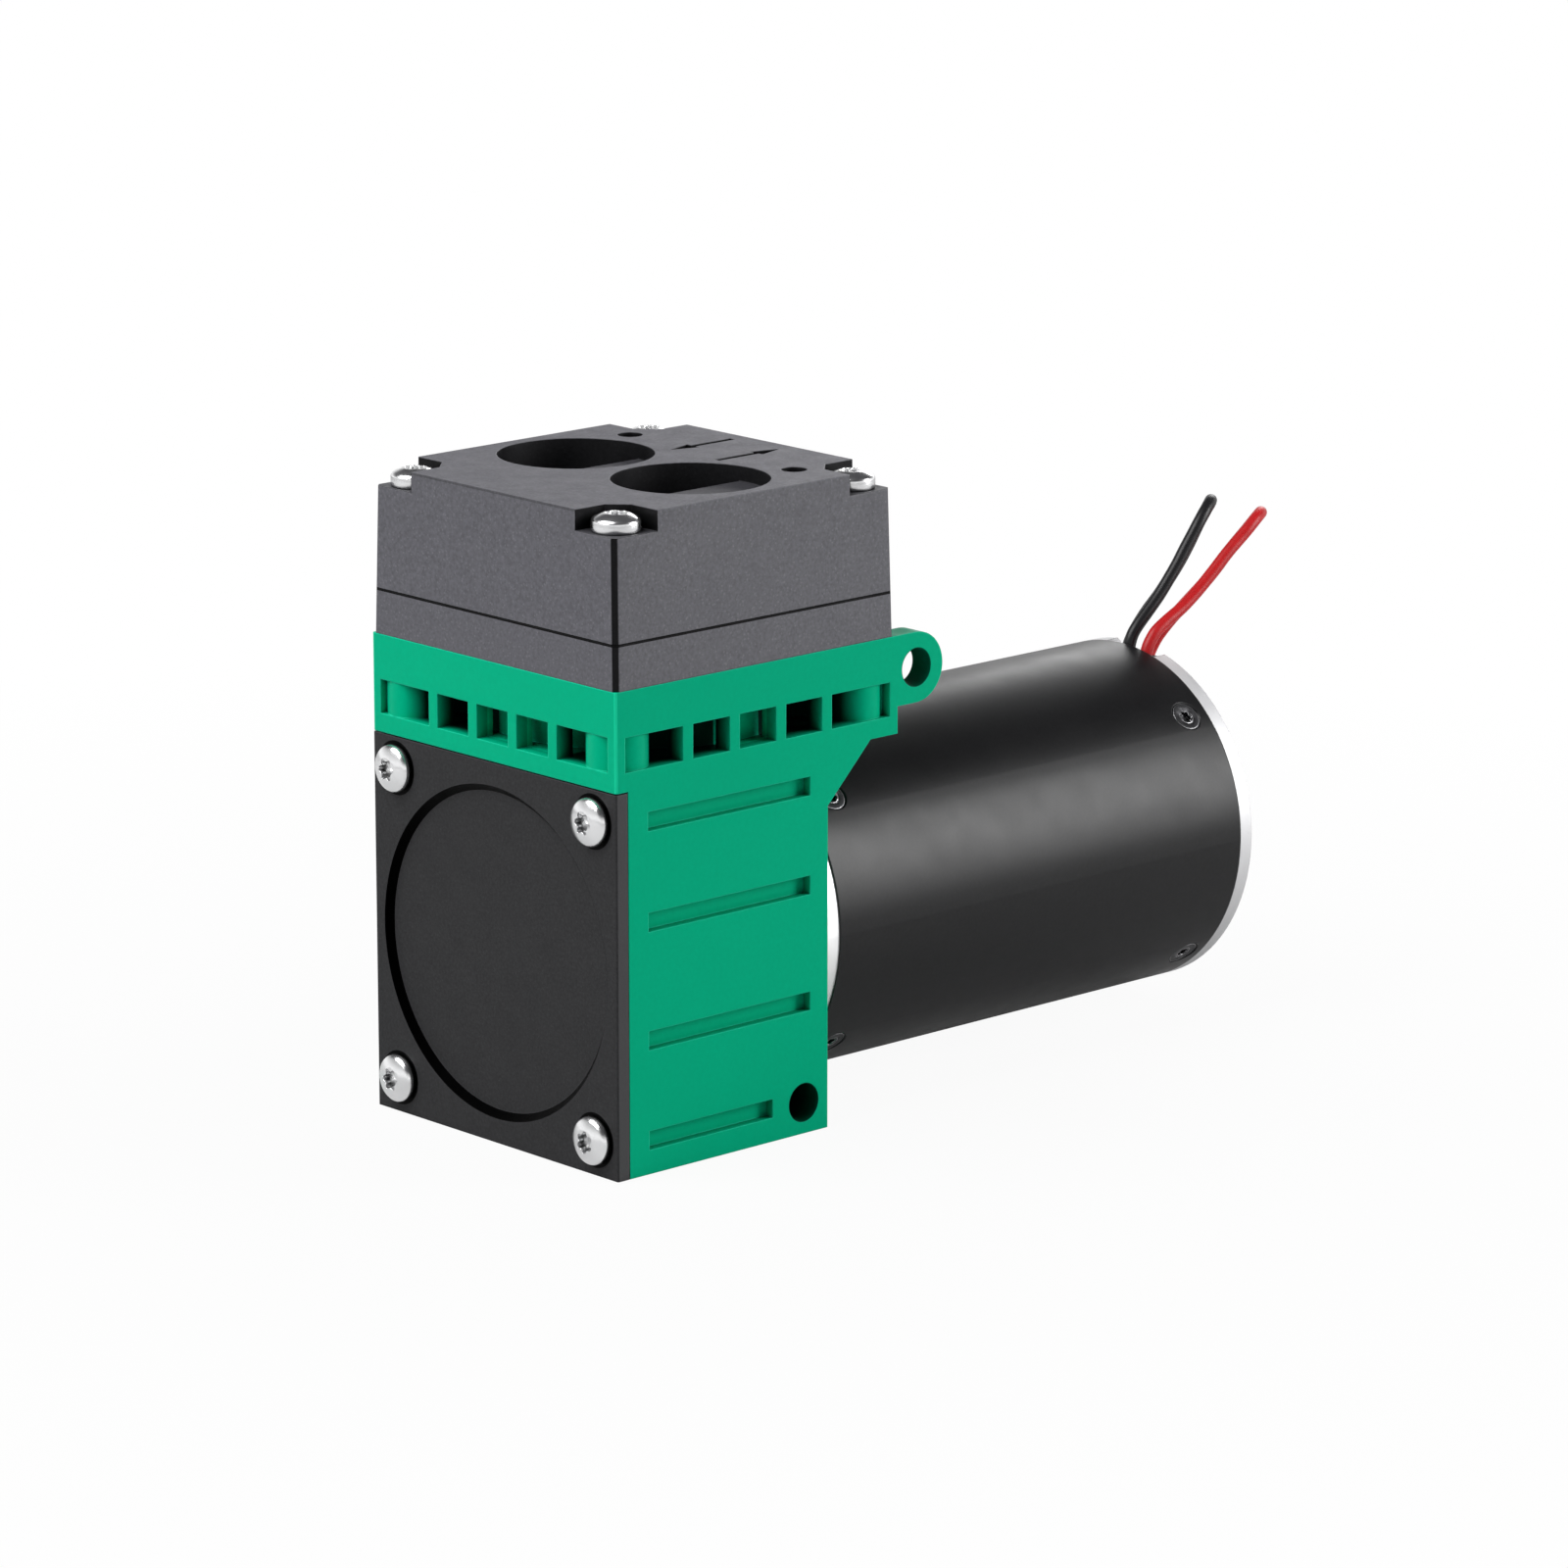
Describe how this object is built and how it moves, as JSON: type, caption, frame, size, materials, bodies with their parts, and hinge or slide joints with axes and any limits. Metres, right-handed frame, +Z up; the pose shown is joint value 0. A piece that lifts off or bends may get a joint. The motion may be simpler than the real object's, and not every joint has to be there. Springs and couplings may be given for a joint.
{
  "type": "diaphragm pump",
  "caption": "Small electric diaphragm pump: moulded crankcase with vents, screwed head with ports, crank drive, flap-disc valves and a round motor with leads.",
  "frame": {"origin": "centre of the crankcase's flat bottom face, between its side faces and its front and rear faces", "axes": "+Z up from the base to the head, -Y towards the front cover, +Y along the motor, X across the front cover"},
  "size_m": [0.0677, 0.1275, 0.0759],
  "materials": {
    "green_plastic": "moulded, fine satin",
    "grey_plastic": "moulded, fine speckled grain",
    "black_plastic": "moulded, fine matt grain",
    "black_rubber": "moulded rubber, matt",
    "zinc_steel": "bright zinc plated",
    "black_steel": "blackened steel, satin",
    "bearing_steel": "ground steel",
    "turned_aluminium": "turned",
    "turned_brass": "turned",
    "cast_aluminium": "fine turned face",
    "black_paint": "black satin coating",
    "dark_magnet": "ground magnet ring",
    "core_steel": "stacked sheet steel",
    "copper_wire": "enamelled copper wire",
    "board_green": "lacquered circuit board",
    "black_insulation": "soft insulation, satin",
    "red_insulation": "soft insulation, satin"
  },
  "bodies": {
    "housing": {"crankcase": "green_plastic", "front_cover": "black_plastic", "cover_screws": "zinc_steel", "diaphragm": "black_rubber", "front_bearing_outer_ring": "bearing_steel", "rear_bearing_outer_ring": "bearing_steel", "wave_washer": "bearing_steel", "motor_front_flange": "cast_aluminium", "flange_screws": "zinc_steel", "motor_tube": "black_paint", "tube_screws": "black_steel", "stator_core": "core_steel", "stator_windings": "copper_wire", "driver_board": "board_green", "board_screws": "zinc_steel", "motor_rear_cap": "cast_aluminium", "lead_grommet": "black_rubber", "valve_plate": "grey_plastic", "head_gasket": "black_rubber", "head_cover": "grey_plastic", "head_screws": "zinc_steel", "black_lead": "black_insulation", "red_lead": "red_insulation", "black_lead_coil": "black_insulation", "red_lead_coil": "red_insulation", "lead_tie": "black_plastic"},
    "crankshaft": {"motor_shaft": "bearing_steel", "rotor_magnet": "dark_magnet", "eccentric_counterweight": "turned_brass", "eccentric_set_screw": "black_steel", "rod_bearing_inner_ring": "bearing_steel", "front_bearing_inner_ring": "bearing_steel", "rear_bearing_inner_ring": "bearing_steel"},
    "rod": {"connecting_rod": "turned_aluminium", "rod_bearing_outer_ring": "bearing_steel", "clamp_disc": "turned_aluminium", "clamp_screw": "zinc_steel"},
    "rod_balls": {"rod_bearing_balls": "bearing_steel"},
    "front_balls": {"front_bearing_balls": "bearing_steel"},
    "rear_balls": {"rear_bearing_balls": "bearing_steel"},
    "inlet_disc": {"inlet_valve_disc": "black_rubber"},
    "outlet_disc": {"outlet_valve_disc": "black_rubber"}
  },
  "joints": [
    {"name": "crank_spin", "type": "hinge", "parent": "housing", "child": "crankshaft", "pos_m": [0, 0.0043, 0.0223], "axis": [0, 1, 0], "continuous": true},
    {"name": "rod_ride", "type": "hinge", "parent": "crankshaft", "child": "rod", "pos_m": [0, 0.0043, 0.0209], "axis": [0, 1, 0], "continuous": true, "deforming": ["diaphragm"]},
    {"name": "rod_balls_roll", "type": "hinge", "parent": "crankshaft", "child": "rod_balls", "pos_m": [0, 0.0043, 0.0209], "axis": [0, 1, 0], "continuous": true},
    {"name": "front_balls_roll", "type": "hinge", "parent": "housing", "child": "front_balls", "pos_m": [0, 0.0226, 0.0223], "axis": [0, 1, 0], "continuous": true},
    {"name": "rear_balls_roll", "type": "hinge", "parent": "housing", "child": "rear_balls", "pos_m": [0, 0.0774, 0.0223], "axis": [0, 1, 0], "continuous": true},
    {"name": "inlet_valve_lift", "type": "slide", "parent": "housing", "child": "inlet_disc", "axis": [0, 0, -1], "range_m": [0, 0.0004], "stiffness_N_per_m": 4, "springref_m": -0.0005},
    {"name": "outlet_valve_lift", "type": "slide", "parent": "housing", "child": "outlet_disc", "axis": [0, 0, 1], "range_m": [0, 0.0004], "stiffness_N_per_m": 4, "springref_m": -0.0005}
  ],
  "couplings": [
    {"joint": "rod_ride", "follows": "crank_spin", "ratio": -1},
    {"joint": "rod_balls_roll", "follows": "crank_spin", "ratio": -0.6},
    {"joint": "front_balls_roll", "follows": "crank_spin", "ratio": 0.4},
    {"joint": "rear_balls_roll", "follows": "crank_spin", "ratio": 0.4}
  ]
}
